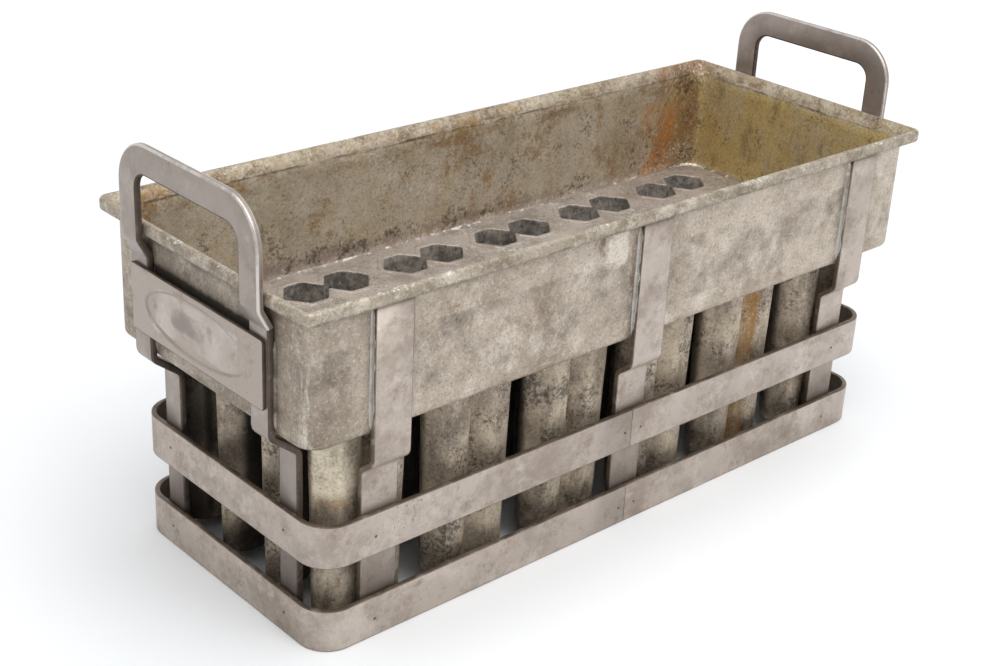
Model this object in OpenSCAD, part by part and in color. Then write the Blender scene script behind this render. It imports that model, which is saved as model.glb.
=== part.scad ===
// Ice pop mold: a shallow tray whose floor carries rows of twin-lobed pockets,
// held in a cage of flat bands and straps, with a looped handle at each end.
// Millimetres, +Z up, +X along the tray. The origin is on the resting plane, under the middle.

/* [Pockets] */
// Pockets along the tray
pocket_columns = 6; // [2:1:8]
// Rows of pockets across the tray
pocket_rows = 4; // [2:1:5]
// Length of a pocket's mouth, over both lobes
mouth_l = 57.5; // [50:0.5:75]
// Width of a pocket's mouth
mouth_w = 25; // [20:0.5:32]
// Width at the waist between the two lobes
waist_w = 12; // [9:0.5:16]
// Length of the flat face on the side of each lobe
lobe_flat = 15; // [8:0.5:20]
// Width of the flat at the outer end of each lobe
lobe_end = 11; // [6:0.5:16]
// Length of the cut that takes the edge off each corner of the lobes
lobe_edge = 3.2; // [1:0.1:4]
// Thickness of a pocket's wall and bottom
pocket_wall = 1.5; // [0.8:0.1:2.5]
// Depth from the tray's floor to the outside of a pocket's bottom
pocket_depth = 121; // [105:0.5:140]
// Draft of a pocket's sides, in degrees
pocket_draft = 1; // [0.3:0.1:1.4]
// Radius round the bottom of a pocket
pocket_round = 4; // [2:0.5:6]
// Space between neighbouring pockets along the tray
pocket_gap_x = 13.3; // [8:0.1:25]
// Space between neighbouring rows
pocket_gap_y = 14; // [8:0.5:25]
// Height of the pockets' bottoms above the resting plane
pocket_lift = 8; // [4:0.2:22]

/* [Tray] */
// Thickness of the tray's sheet
sheet_t = 1.4; // [0.8:0.1:2.5]
// Thickness of the pierced plate that makes the floor
plate_t = 2.2; // [1.5:0.1:3]
// Depth of the tray, from its floor to the top of its rim
tray_depth = 75; // [50:0.5:110]
// Width of the ledge turned in under the floor plate
ledge_w = 8; // [5:0.5:12]
// Space from the ledge to the pockets at the tray's ends
ledge_gap_x = 10.4; // [4:0.2:20]
// Space from the ledge to the pockets at the tray's sides
ledge_gap_y = 3.6; // [2:0.2:10]
// Outer radius of the tray's upright corners
tray_corner = 13; // [9:0.5:20]
// Radius along the tray's lower edge
tray_edge = 3.6; // [2.5:0.1:6]
// How far the rim stands out from the wall
rim_out = 5.5; // [4:0.1:9]
// Height of the rim's outer face
rim_h = 7.5; // [5:0.1:12]
// Width of the flat on top of the rim
rim_flat = 3; // [2.4:0.1:4]
// Outer radius of the rim's corners
rim_corner = 6; // [4:0.2:9]
// Radius along the rolled rim's outer edges
rim_edge = 2; // [0.5:0.1:2.2]
// Height and width of the solder bead round the floor
bead_leg = 2.6; // [1.5:0.1:4]
// Thickness of the bead at its feathered edges
bead_edge = 0.3; // [0.2:0.05:0.6]

/* [Cage] */
// Height of each band
band_h = 25; // [18:0.5:30]
// Thickness of the bands
band_t = 3; // [1.5:0.1:4]
// Outer radius of the bands' corners
band_corner = 18; // [12:0.5:24]
// Space between the two bands
band_gap = 26; // [15:0.5:32]
// Width of the butt seam in each band
seam_w = 0.5; // [0.3:0.1:1]
// Space between the pockets and the straps
cage_gap = 3; // [1.5:0.1:6]
// Width of the side straps
strap_w = 24; // [16:0.5:32]
// Thickness of the side straps
strap_t = 3; // [1.5:0.1:4]
// Space from a corner strap to the round of the bands' corners
strap_inset = 9.6; // [2:0.2:30]
// How far below the tray the side straps bend in
strap_bend = 16.4; // [10:0.2:20]
// Height of the slanted part of a side strap
strap_slant = 8; // [5:0.5:12]
// Height of the straps' lower ends above the resting plane
strap_lift = 1; // [0.5:0.1:5]
// Radius inside the bends of the straps and the handles' legs
bend_r = 4; // [2:0.5:6]

/* [Handles] */
// Width of the handle bar
bar_w = 16.5; // [12:0.5:22]
// Thickness of the handle bar
bar_t = 3.8; // [2.5:0.1:5]
// Width over the outside of the handle
handle_w = 125; // [90:1:140]
// Height of the handle above the rim
handle_h = 45.5; // [35:0.5:70]
// Outer radius of the handle's corners
handle_corner = 26; // [22:0.5:30]
// Height of the slanted part of a leg under the rim
rim_slant = 6; // [4:0.5:9]
// Height of the slanted part of a leg under the tray
leg_slant = 13; // [8:0.5:18]
// Height of the end plate
badge_h = 38.5; // [24:0.5:44]
// Thickness of the end plate
badge_t = 1.8; // [1.2:0.1:3]
// Height of the end plate's lower edge above the tray's lower edge
badge_lift = 14.6; // [8:0.2:20]
// Radius of the end plate's corners
badge_corner = 2; // [1:0.5:5]
// Length of the oval dished into the end plate
oval_l = 94; // [60:1:100]
// Height of the oval
oval_h = 29; // [22:0.5:32]
// Radius of the oval's narrow ends
oval_end = 6; // [4:0.5:9]
// Depth of the oval
oval_depth = 0.8; // [0.3:0.1:1]

/* [Fit] */
// Gap left for solder between pieces that are joined
solder_gap = 0.1; // [0.05:0.05:0.3]
// Gap between the handle's legs and the rim
rim_gap = 0.2; // [0.1:0.05:0.5]

/* [Hidden] */
// Roundness of the arcs
$fn = 64;
// Slack by which cutting shapes overshoot
over = 1;
// Flats that make up each bend of a strap or leg
bend_steps = 6;

// Outer size of a pocket's mouth, and the spacing of the pockets
pocket_l = mouth_l + 2 * pocket_wall;
pocket_w = mouth_w + 2 * pocket_wall;
pitch_x = pocket_l + pocket_gap_x;
pitch_y = pocket_w + pocket_gap_y;
// Radius round the bottom inside a pocket
bowl_round = max(pocket_round - pocket_wall, pocket_wall / 2);
// Half sizes of the whole group of pockets
array_x = ((pocket_columns - 1) * pitch_x + pocket_l) / 2;
array_y = ((pocket_rows - 1) * pitch_y + pocket_w) / 2;

// Levels, from the resting plane up
floor_z = pocket_lift + pocket_depth;
ledge_z = floor_z - plate_t;
tray_z = ledge_z - sheet_t;
rim_z = floor_z + tray_depth;
lip_z = rim_z - rim_h;
upper_band_z = band_h + band_gap;

// Half sizes of the tray's inside, its outside and its rim
inner_x = array_x + ledge_gap_x + ledge_w;
inner_y = array_y + ledge_gap_y + ledge_w;
wall_x = inner_x + sheet_t;
wall_y = inner_y + sheet_t;
rim_x = wall_x + rim_out;
rim_y = wall_y + rim_out;
inner_corner = tray_corner - sheet_t;
// How far the flare inside the rim opens out
flare = rim_out + sheet_t - rim_flat;

// Faces that the straps and legs lie against, measured from the middle
strap_low_y = array_y + cage_gap + strap_t;
strap_high_y = wall_y + solder_gap + strap_t;
band_y = strap_low_y + solder_gap + band_t;
leg_low_x = array_x + cage_gap + bar_t;
leg_high_x = wall_x + solder_gap + bar_t;
loop_x = rim_x + rim_gap + bar_t;
band_x = leg_low_x + solder_gap + band_t;
// Place of the corner straps along the tray
strap_x = band_x - band_corner - strap_inset - strap_w / 2;

// Levels of the bends
strap_bend_z = tray_z - strap_bend;
strap_top_z = lip_z - rim_gap;
leg_bend_z = tray_z - bar_t / 2;
// The bend under the rim ends below the lip
rim_bend_z = lip_z - rim_gap - (bend_r + bar_t) * tan(atan2(loop_x - leg_high_x, rim_slant) / 2);
loop_top_z = rim_z + handle_h;
leg_y = (handle_w - bar_w) / 2;

// Names of the pockets, row by row from the front
pocket_names = [
    for (row = [1:pocket_rows])
        for (column = [1:pocket_columns])
            str("pocket_r", row, "_c", column)
];

// Left-hand normal of a direction
function left_of(v) = [-v.y, v.x] / norm(v);

// Point at distance t from a corner, to the left of the sides that meet there
function mitre(corner, before, after, t) =
    let (a = left_of(corner - before), b = left_of(after - corner))
    corner + t * (a + b) / (1 + a * b);

// An open line moved to its left by t, with mitred corners
function beside(line, t) =
    let (last = len(line) - 1)
    [
        for (i = [0:last])
            i == 0 ? line[0] + t * left_of(line[1] - line[0])
            : i == last ? line[last] + t * left_of(line[last] - line[last - 1])
            : mitre(line[i], line[i - 1], line[i + 1], t)
    ];

// Points round the bend at a corner of a strip of thickness t, which lies to the line's left
function bend(before, corner, after, t) =
    let (
        ahead = (corner - before) / norm(corner - before),
        turned = (after - corner) / norm(after - corner),
        turn = atan2(cross(ahead, turned), ahead * turned),
        r = turn > 0 ? bend_r + t : bend_r,
        start = corner - r * tan(abs(turn) / 2) * ahead,
        spoke = -sign(turn) * r * left_of(ahead)
    )
    [
        for (k = [0:bend_steps])
            let (a = turn * k / bend_steps)
            start - spoke + [spoke.x * cos(a) - spoke.y * sin(a), spoke.x * sin(a) + spoke.y * cos(a)]
    ];

// An open line with a bend at each corner
function bent(line, t) =
    let (last = len(line) - 1)
    [
        line[0],
        for (i = [1:last - 1])
            each bend(line[i - 1], line[i], line[i + 1], t),
        line[last]
    ];

// A closed outline moved to its left by t
function inset(ring, t) =
    let (n = len(ring))
    [for (i = [0:n - 1]) mitre(ring[i], ring[(i + n - 1) % n], ring[(i + 1) % n], t)];

// A closed outline with a short cut across every corner
function eased(ring, cut) =
    let (n = len(ring))
    [
        for (i = [0:n - 1])
            let (back = ring[(i + n - 1) % n] - ring[i], ahead = ring[(i + 1) % n] - ring[i])
            each [ring[i] + cut / 2 * back / norm(back), ring[i] + cut / 2 * ahead / norm(ahead)]
    ];

function reversed(list) = [for (i = [len(list) - 1:-1:0]) list[i]];

// Right half of a pocket's mouth, from the waist at the back round to the waist at the front
function half_mouth() =
    let (slope = (mouth_l / 2 - lobe_flat) / 2)
    [
        [0, -waist_w / 2],
        [slope, -mouth_w / 2],
        [slope + lobe_flat, -mouth_w / 2],
        [mouth_l / 2, -lobe_end / 2],
        [mouth_l / 2, lobe_end / 2],
        [slope + lobe_flat, mouth_w / 2],
        [slope, mouth_w / 2],
        [0, waist_w / 2]
    ];

// Whole mouth: two lobes that meet at the waist, anticlockwise
function mouth() =
    let (half = half_mouth(), far = [for (i = [1:6]) [-half[7 - i].x, half[7 - i].y]])
    eased(concat(half, far), lobe_edge);

// Back half of the mouth, from the middle of its right end to the middle of its left end
function back_half() =
    concat(
        [[mouth_l / 2, solder_gap / 2]],
        [for (p = mouth()) if (p.y > solder_gap / 2) p],
        [[-mouth_l / 2, solder_gap / 2]]
    );

// Rectangle with round corners
module round_rect(half_x, half_y, r) {
    union() {
        square([2 * (half_x - r), 2 * half_y], center = true);
        square([2 * half_x, 2 * (half_y - r)], center = true);
        for (x = [-1, 1])
            for (y = [-1, 1])
                translate([x * (half_x - r), y * (half_y - r)])
                    circle(r);
    }
}

// A profile carried round a rectangle with corners of radius r.
// The profile's x is measured from the centre of the corner arc.
module carry_round(half_x, half_y, r) {
    dx = half_x - r;
    dy = half_y - r;
    for (quarter = [0:3])
        translate([(quarter == 0 || quarter == 3 ? 1 : -1) * dx, (quarter < 2 ? 1 : -1) * dy, 0])
            rotate([0, 0, 90 * quarter])
                rotate_extrude(angle = 90)
                    children();
    for (side = [0, 180])
        rotate([0, 0, side]) {
            translate([dx, dy, 0])
                rotate([90, 0, 0])
                    linear_extrude(2 * dy)
                        children();
            translate([-dx, dy, 0])
                rotate([0, 0, 90])
                    rotate([90, 0, 0])
                        linear_extrude(2 * dx)
                            children();
        }
}

// Section through the lower edge of the tray: a quarter round on a sharp inner corner
module edge_section() {
    translate([tray_corner - tray_edge, tray_edge])
        intersection() {
            circle(tray_edge);
            translate([0, -tray_edge])
                square(tray_edge);
        }
}

// Section through the rim's rolled outer face, with both of its edges rounded
module rim_section() {
    union() {
        translate([0, rim_edge])
            square([rim_corner, rim_h - 2 * rim_edge]);
        square([rim_corner - rim_edge, rim_h]);
        for (z = [rim_edge, rim_h - rim_edge])
            translate([rim_corner - rim_edge, z])
                circle(rim_edge);
    }
}

// Section of the flare that opens out inside the rim
module flare_section() {
    polygon([
        [inner_corner - over, 0],
        [inner_corner, 0],
        [inner_corner + flare, rim_h],
        [inner_corner + flare, rim_h + over],
        [inner_corner - over, rim_h + over]
    ]);
}

module tray_wall() {
    color("#a39c92")
        difference() {
            union() {
                translate([0, 0, tray_z + tray_edge])
                    linear_extrude(lip_z + over - tray_z - tray_edge)
                        round_rect(wall_x, wall_y, tray_corner);
                translate([0, 0, tray_z])
                    linear_extrude(tray_edge)
                        round_rect(wall_x - tray_edge, wall_y - tray_edge, tray_corner - tray_edge);
                translate([0, 0, tray_z])
                    carry_round(wall_x, wall_y, tray_corner)
                        edge_section();
                translate([0, 0, lip_z])
                    linear_extrude(rim_h)
                        round_rect(rim_x - rim_edge, rim_y - rim_edge, rim_corner - rim_edge);
                translate([0, 0, lip_z])
                    carry_round(rim_x, rim_y, rim_corner)
                        rim_section();
            }
            translate([0, 0, ledge_z])
                linear_extrude(rim_z + over - ledge_z)
                    round_rect(inner_x, inner_y, inner_corner);
            translate([0, 0, lip_z])
                carry_round(inner_x, inner_y, inner_corner)
                    flare_section();
            translate([0, 0, tray_z - over])
                linear_extrude(sheet_t + 2 * over)
                    round_rect(inner_x - ledge_w, inner_y - ledge_w, inner_corner - ledge_w / 2);
        }
}

module pocket_plate() {
    color("#8d8478")
        translate([0, 0, ledge_z])
            linear_extrude(plate_t)
                difference() {
                    round_rect(inner_x - solder_gap, inner_y - solder_gap, inner_corner - solder_gap);
                    for (row = [1:pocket_rows])
                        for (column = [1:pocket_columns])
                            translate(pocket_place(row, column))
                                polygon(inset(mouth(), -pocket_wall - solder_gap));
                }
}

// Solder run into the corner between the floor plate and the wall
module floor_solder_bead() {
    r = inner_corner - solder_gap;
    color("#c9c4ba")
        translate([0, 0, floor_z])
            carry_round(inner_x - solder_gap, inner_y - solder_gap, r)
                difference() {
                    translate([r - bead_leg, 0])
                        square(bead_leg);
                    translate([r - bead_leg, bead_leg])
                        circle(bead_leg - bead_edge);
                }
}

// Centre of a pocket, rows counted from the front and columns from the left
function pocket_place(row, column) = [
    (column - (pocket_columns + 1) / 2) * pitch_x,
    (row - (pocket_rows + 1) / 2) * pitch_y
];

// Inset and depth of a row on the round of a pocket's bottom, 0 at its side and 90 underneath
function round_row(turn, depth, r) =
    let (row_depth = depth - r * (1 - sin(turn)))
    [tan(pocket_draft) * row_depth + r * (1 - cos(turn)), row_depth];

// Half of a tapered twin-lobed cup, open at the top: rows of points round the half mouth, from
// the outer bottom, up the outside, over the rim and down the inside
module pocket_half() {
    half = back_half();
    n = len(half);
    // Each row: how far it lies inside the mouth, and its depth below the floor
    rows = concat(
        [for (turn = [90, 45, 0]) round_row(turn, pocket_depth, pocket_round) - [pocket_wall, 0]],
        [[-pocket_wall, 0], [0, 0]],
        [for (turn = [0, 45, 90]) round_row(turn, pocket_depth - pocket_wall, bowl_round)]
    );
    last = len(rows) - 1;
    points = [
        for (row = rows)
            for (p = beside(half, row[0]))
                [p.x, p.y, floor_z - row[1]]
    ];
    sides = [
        for (k = [0:last - 1])
            for (i = [k * n:k * n + n - 2])
                each [[i, i + n, i + n + 1], [i, i + n + 1, i + 1]]
    ];
    // The bottom is cut at the waist into two lobes and the neck between them
    outer_bottom = [
        [for (i = [0:n / 2 - 1]) i],
        [0, n / 2 - 1, n / 2, n - 1],
        [for (i = [n / 2:n - 1]) i]
    ];
    inner_bottom = [for (face = outer_bottom) [for (i = reversed(face)) last * n + i]];
    // The seam is cut where a row of the outside faces a row of the inside across the wall
    seam = [
        [n - 1, last * n + n - 1, last * n, 0],
        for (k = [0:len(rows) / 2 - 2])
            each [
                [for (row = [k, k + 1, last - k - 1, last - k]) row * n + n - 1],
                [for (row = [last - k, last - k - 1, k + 1, k]) row * n]
            ]
    ];
    polyhedron(points, concat(sides, outer_bottom, inner_bottom, seam));
}

// One pocket: two pressed halves, soldered along the middle
module pocket(row, column) {
    color("#7d7464")
        translate(pocket_place(row, column))
            for (turn = [0, 180])
                rotate([0, 0, turn])
                    pocket_half();
}

// Flat strip bent into a ring, its ends meeting at the middle of the front
module band(z) {
    color("#b5aba3")
        translate([0, 0, z])
            difference() {
                linear_extrude(band_h)
                    difference() {
                        round_rect(band_x, band_y, band_corner);
                        round_rect(band_x - band_t, band_y - band_t, band_corner - band_t);
                    }
                translate([-seam_w / 2, -band_y - over, -over])
                    cube([seam_w, band_t + 2 * over, band_h + 2 * over]);
            }
}

module lower_band() {
    band(0);
}

module upper_band() {
    band(upper_band_z);
}

// Strip of thickness t whose outer face follows a line drawn from the bottom up
module strip(line, t, width) {
    outer_face = bent(line, t);
    rotate([90, 0, 0])
        linear_extrude(width, center = true)
            polygon(concat(outer_face, reversed(beside(outer_face, t))));
}

// Side strap at place x along the tray, on the side that the turn brings it to
module side_strap(x, turn) {
    color("#b5aba3")
        rotate([0, 0, turn])
            translate([0, x, 0])
                strip(
                    [
                        [strap_low_y, strap_lift],
                        [strap_low_y, strap_bend_z - strap_slant],
                        [strap_high_y, strap_bend_z],
                        [strap_high_y, strap_top_z]
                    ],
                    strap_t,
                    strap_w
                );
}

module front_strap_left() {
    side_strap(-strap_x, -90);
}

module front_strap_center() {
    side_strap(0, -90);
}

module front_strap_right() {
    side_strap(strap_x, -90);
}

module back_strap_left() {
    side_strap(strap_x, 90);
}

module back_strap_center() {
    side_strap(0, 90);
}

module back_strap_right() {
    side_strap(-strap_x, 90);
}

// Loop of the handle, standing on its two legs
module handle_loop() {
    half_w = handle_w / 2;
    base_z = lip_z;
    translate([loop_x - bar_t, 0, base_z])
        rotate([90, 0, 90])
            linear_extrude(bar_t)
                difference() {
                    intersection() {
                        translate([0, loop_top_z - base_z - handle_w])
                            round_rect(half_w, handle_w, handle_corner);
                        translate([-half_w, 0])
                            square([handle_w, loop_top_z - base_z]);
                    }
                    translate([0, loop_top_z - base_z - handle_w - bar_w])
                        round_rect(half_w - bar_w, handle_w, handle_corner - bar_w);
                }
}

// One bar at each end: up inside the bands, out on to the end wall, out again round the rim,
// and over in a loop to the other leg
module handle() {
    color("#b0a69d")
        union() {
            handle_loop();
            for (y = [-leg_y, leg_y])
                translate([0, y, 0])
                    strip(
                        [
                            [leg_low_x, strap_lift],
                            [leg_low_x, leg_bend_z - leg_slant],
                            [leg_high_x, leg_bend_z],
                            [leg_high_x, rim_bend_z - rim_slant],
                            [loop_x, rim_bend_z],
                            [loop_x, rim_z]
                        ],
                        bar_t,
                        bar_w
                    );
        }
}

module left_handle() {
    rotate([0, 0, 180])
        handle();
}

module right_handle() {
    handle();
}

// Oval of four arcs
module oval() {
    a = oval_l / 2 - oval_end;
    b = oval_h / 2;
    big = (a * a + b * b - oval_end * oval_end) / (2 * (b - oval_end));
    join_x = a * big / (big - oval_end);
    union() {
        intersection() {
            translate([0, b - big])
                circle(big);
            translate([0, big - b])
                circle(big);
            square([2 * join_x, oval_h], center = true);
        }
        for (x = [-a, a])
            translate([x, 0])
                circle(oval_end);
    }
}

// Plate across both legs, with a shallow bare oval
module end_plate() {
    mid_z = tray_z + badge_lift + badge_h / 2;
    color("#b0a69d")
        translate([leg_high_x + solder_gap, 0, mid_z])
            rotate([90, 0, 90])
                difference() {
                    linear_extrude(badge_t)
                        round_rect(handle_w / 2 - badge_corner, badge_h / 2, badge_corner);
                    translate([0, 0, badge_t - oval_depth])
                        linear_extrude(oval_depth + over)
                            oval();
                }
}

module left_end_plate() {
    rotate([0, 0, 180])
        end_plate();
}

module right_end_plate() {
    end_plate();
}

tray_wall();
pocket_plate();
floor_solder_bead();
for (row = [1:pocket_rows])
    for (column = [1:pocket_columns])
        pocket(row, column);
lower_band();
upper_band();
front_strap_left();
front_strap_center();
front_strap_right();
back_strap_left();
back_strap_center();
back_strap_right();
left_handle();
right_handle();
left_end_plate();
right_end_plate();
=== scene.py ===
import math

import bmesh
import bpy
from mathutils import Matrix, Vector, noise


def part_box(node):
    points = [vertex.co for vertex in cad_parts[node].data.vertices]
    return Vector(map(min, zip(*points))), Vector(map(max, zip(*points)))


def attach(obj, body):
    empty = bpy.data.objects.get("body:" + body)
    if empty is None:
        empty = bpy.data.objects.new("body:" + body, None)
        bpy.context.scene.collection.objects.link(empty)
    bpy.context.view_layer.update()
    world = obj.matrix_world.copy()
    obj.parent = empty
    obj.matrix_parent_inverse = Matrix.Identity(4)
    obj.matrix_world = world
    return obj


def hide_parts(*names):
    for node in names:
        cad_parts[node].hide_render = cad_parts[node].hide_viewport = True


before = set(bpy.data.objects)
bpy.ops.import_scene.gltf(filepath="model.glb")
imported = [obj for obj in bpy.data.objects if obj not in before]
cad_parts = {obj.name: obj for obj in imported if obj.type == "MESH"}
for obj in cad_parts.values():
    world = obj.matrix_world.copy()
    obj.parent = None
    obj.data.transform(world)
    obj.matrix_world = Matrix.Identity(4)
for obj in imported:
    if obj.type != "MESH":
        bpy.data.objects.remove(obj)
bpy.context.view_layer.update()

# Tray wall: a bottomless pan of sheet steel, rolled outwards at the rim and turned in under the
# floor. It is pressed, soldered and dipped in tin. It is lofted from outlines that climb the outside,
# go over the rim and come down the inside, a little dented, and stands for its CAD solid.
mm = 0.001


def linear(hex_colour):
    """Linear colour of an sRGB hex value."""
    parts = [int(hex_colour[i:i + 2], 16) / 255 for i in (1, 3, 5)]
    return [p / 12.92 if p <= 0.04045 else ((p + 0.055) / 1.055) ** 2.4 for p in parts] + [1.0]


def add(tree, kind, sockets=None, **settings):
    """Adds a node with its settings, and fills or links its sockets."""
    node = tree.nodes.new(kind)
    for name, value in settings.items():
        setattr(node, name, value)
    for key, value in (sockets or {}).items():
        if isinstance(value, bpy.types.NodeSocket):
            tree.links.new(value, node.inputs[key])
        else:
            node.inputs[key].default_value = value
    return node


def weathered(name, colour, metallic, roughness, coats, relief):
    """A metal under coats of tarnish, dirt and rust, laid one over the other.

    A coat has a colour, the size of its blotches in mm, the noise levels between which it fades in,
    how much it covers and how rough it is. grit is how ragged its edge is, pull draws it out along
    x, y and z, lean then tips it from z towards x by an angle, and herd gathers it into groups of
    that size in mm. where keeps it to places: an axis, and the values in mm where it starts and is full.
    relief lists the size and the depth of the unevenness, both in mm.
    """
    material = bpy.data.materials.new(name)
    material.use_nodes = True
    tree = material.node_tree
    shader = tree.nodes["Principled BSDF"]
    shader.inputs["Metallic"].default_value = metallic
    place = add(tree, "ShaderNodeTexCoord").outputs["Object"]
    axes = add(tree, "ShaderNodeSeparateXYZ", {0: place})
    measures = dict(zip("xyz", axes.outputs))
    # How far apart in metres the coats lie in the noise, so that no two have the same blotches, how
    # strongly groups raise and lower the noise level, and how far it sinks where a coat is kept out.
    apart, gathered, kept_out = (0.31, 0.17, 0.23), 0.7, -0.6
    tone, dull = linear(colour), roughness
    for number, coat in enumerate(coats):
        drawn = add(tree, "ShaderNodeMapping", {
            "Vector": place,
            "Location": [number * step for step in apart],
            "Rotation": (0, math.radians(coat.get("lean", 0)), 0),
            "Scale": coat.get("pull", (1, 1, 1)),
        }, vector_type="TEXTURE")
        blotches = add(tree, "ShaderNodeTexNoise", {
            "Vector": drawn.outputs[0],
            "Scale": 1 / (coat["size"] * mm),
            "Detail": 8.0,
            "Roughness": coat.get("grit", 0.65),
        })
        level = blotches.outputs[0]
        if "herd" in coat:
            groups = add(tree, "ShaderNodeTexNoise", {
                "Vector": drawn.outputs[0], "Scale": 1 / (coat["herd"] * mm), "Detail": 2.0
            })
            lift = add(
                tree, "ShaderNodeMath", {0: groups.outputs[0], 1: gathered, 2: -gathered / 2},
                operation="MULTIPLY_ADD",
            )
            level = add(
                tree, "ShaderNodeMath", {0: level, 1: lift.outputs[0]}, operation="ADD"
            ).outputs[0]
        for measure, start, full in coat.get("where", ()):
            kept = add(tree, "ShaderNodeMapRange", {
                "Value": measures[measure],
                "From Min": start * mm,
                "From Max": full * mm,
                "To Min": kept_out,
                "To Max": 0.0,
            }, interpolation_type="SMOOTHSTEP")
            level = add(
                tree, "ShaderNodeMath", {0: level, 1: kept.outputs[0]}, operation="ADD"
            ).outputs[0]
        cover = add(tree, "ShaderNodeMapRange", {
            "Value": level,
            "From Min": coat["fade"][0],
            "From Max": coat["fade"][1],
            "To Max": coat["cover"],
        }, interpolation_type="SMOOTHSTEP").outputs[0]
        tone = add(
            tree, "ShaderNodeMix", {0: cover, 6: tone, 7: linear(coat["colour"])}, data_type="RGBA"
        ).outputs[2]
        dull = add(tree, "ShaderNodeMix", {0: cover, 2: dull, 3: coat["rough"]}).outputs[0]
    tree.links.new(tone, shader.inputs["Base Color"])
    tree.links.new(dull, shader.inputs["Roughness"])
    height = 0.0
    for size, depth in relief:
        lumps = add(tree, "ShaderNodeTexNoise", {
            "Vector": place, "Scale": 1 / (size * mm), "Detail": 3.0, "Roughness": 0.55
        })
        height = add(
            tree, "ShaderNodeMath", {0: lumps.outputs[0], 1: depth * mm, 2: height},
            operation="MULTIPLY_ADD",
        ).outputs[0]
    bump = add(tree, "ShaderNodeBump", {"Height": height, "Distance": 1.0})
    tree.links.new(bump.outputs[0], shader.inputs["Normal"])
    return material


def round_rect(half_u, half_v, corner, per_side, per_corner):
    """Outline of a rectangle with round corners, anticlockwise from the end of its right side."""
    outline = []
    for quarter in range(4):
        su, sv = ((1, 1), (-1, 1), (-1, -1), (1, -1))[quarter]
        centre = Vector((su * (half_u - corner), sv * (half_v - corner)))
        arc = []
        for k in range(per_corner + 1):
            turn = math.radians(90 * quarter + 90 * k / per_corner)
            arc.append(centre + corner * Vector((math.cos(turn), math.sin(turn))))
        if outline:
            start = outline[-1]
            outline += [start.lerp(arc[0], k / per_side) for k in range(1, per_side)]
        outline += arc
    start = outline[-1]
    return outline + [start.lerp(outline[0], k / per_side) for k in range(1, per_side)]


def skin(rows, width, ring=False):
    """Faces between neighbouring closed rows of points and, in a ring, from the last to the first."""
    return [
        (r * width + i, r * width + (i + 1) % width,
         (r + 1) % rows * width + (i + 1) % width, (r + 1) % rows * width + i)
        for r in range(rows if ring else rows - 1) for i in range(width)
    ]


def make_piece(name, points, faces, materials, which=None):
    """A smooth mesh piece on the mold, with its finish. which gives each face's material."""
    mesh = bpy.data.meshes.new(name)
    mesh.from_pydata(points, [], faces)
    for material in materials:
        mesh.materials.append(material)
    if which:
        mesh.polygons.foreach_set("material_index", which)
    shape = bmesh.new()
    shape.from_mesh(mesh)
    bmesh.ops.recalc_face_normals(shape, faces=shape.faces)
    for face in shape.faces:
        face.smooth = True
    shape.to_mesh(mesh)
    shape.free()
    piece = bpy.data.objects.new(name, mesh)
    bpy.context.collection.objects.link(piece)
    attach(piece, "root")
    return piece


# The grain of old tin, dark and pale. It is too fine to show, so it is drawn 1.5 to 2 mm coarse.
sand = [
    dict(colour="#645849", size=1.5, fade=(0.48, 0.7), cover=0.6, rough=0.56, grit=0.7),
    dict(colour="#eae1d4", size=1.9, fade=(0.52, 0.72), cover=0.55, rough=0.5, grit=0.7),
]
# Tinned sheet steel, hot-dipped and old. Outside, the tin has gone dull and sandy, with soft brown
# clouds, cream bloom and fine scratches along it. It is paler on the right half, stained on both sides
# of the middle strap and worn pale at the front left corner. Behind the end plates it is painted near
# black as shade in the gap.
tin_outside = weathered("old_tinned_steel", "#b8ab9c", 0.5, 0.46, [
    dict(colour="#82715f", size=58, fade=(0.4, 0.68), cover=0.8, rough=0.5, grit=0.7),
    dict(colour="#e2d8ca", size=32, fade=(0.48, 0.68), cover=0.7, rough=0.55, grit=0.74),
    dict(colour="#80694f", size=20, fade=(0.5, 0.69), cover=0.6, rough=0.58, grit=0.8),
    dict(colour="#7d6c58", size=26, fade=(0.4, 0.62), cover=0.5, rough=0.6, grit=0.75,
         where=[("z", 138, 127)]),
    dict(colour="#7c6d5c", size=20, fade=(0.42, 0.62), cover=0.5, rough=0.6, grit=0.75,
         where=[("z", 184, 196)]),
    dict(colour="#857869", size=22, fade=(0.36, 0.62), cover=0.6, rough=0.52, grit=0.74,
         pull=(1, 1, 2.4), where=[("x", -130, -195)]),
    dict(colour="#d9cdbd", size=36, fade=(0.32, 0.62), cover=0.5, rough=0.5, grit=0.72,
         where=[("x", 4, 50)]),
    dict(colour="#e9e0d2", size=14, fade=(0.4, 0.58), cover=0.7, rough=0.5, grit=0.74,
         where=[("x", -44, -34), ("x", -14, -22), ("z", 166, 176)]),
    dict(colour="#6b5542", size=8, fade=(0.42, 0.6), cover=0.65, rough=0.6, grit=0.76,
         pull=(1, 1, 3), where=[("x", -24, -16), ("x", -10, -12)]),
    dict(colour="#57452f", size=7, fade=(0.4, 0.58), cover=0.75, rough=0.62, grit=0.76,
         pull=(1, 1, 2), where=[("x", -52, -45), ("x", -32, -39), ("z", 176, 184)]),
    dict(colour="#e0d8ca", size=12, fade=(0.48, 0.62), cover=0.7, rough=0.42, grit=0.74,
         pull=(0.7, 0.7, 4), where=[("x", -220, -232), ("y", -66, -80)]),
    dict(colour="#eae3d8", size=1.6, fade=(0.62, 0.7), cover=0.4, rough=0.4, pull=(16, 16, 0.7)),
] + sand + [
    # Painted shade: near black on the end walls, in the gap behind the end plates.
    dict(colour="#27211c", size=16, fade=(-0.2, 0.35), cover=0.85, rough=0.6,
         where=[("y", -66, -58), ("y", 66, 58), ("z", 182, 177.5), ("z", 134, 141)]),
], [(60, 0.5), (14, 0.1), (2.4, 0.05)])
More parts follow.
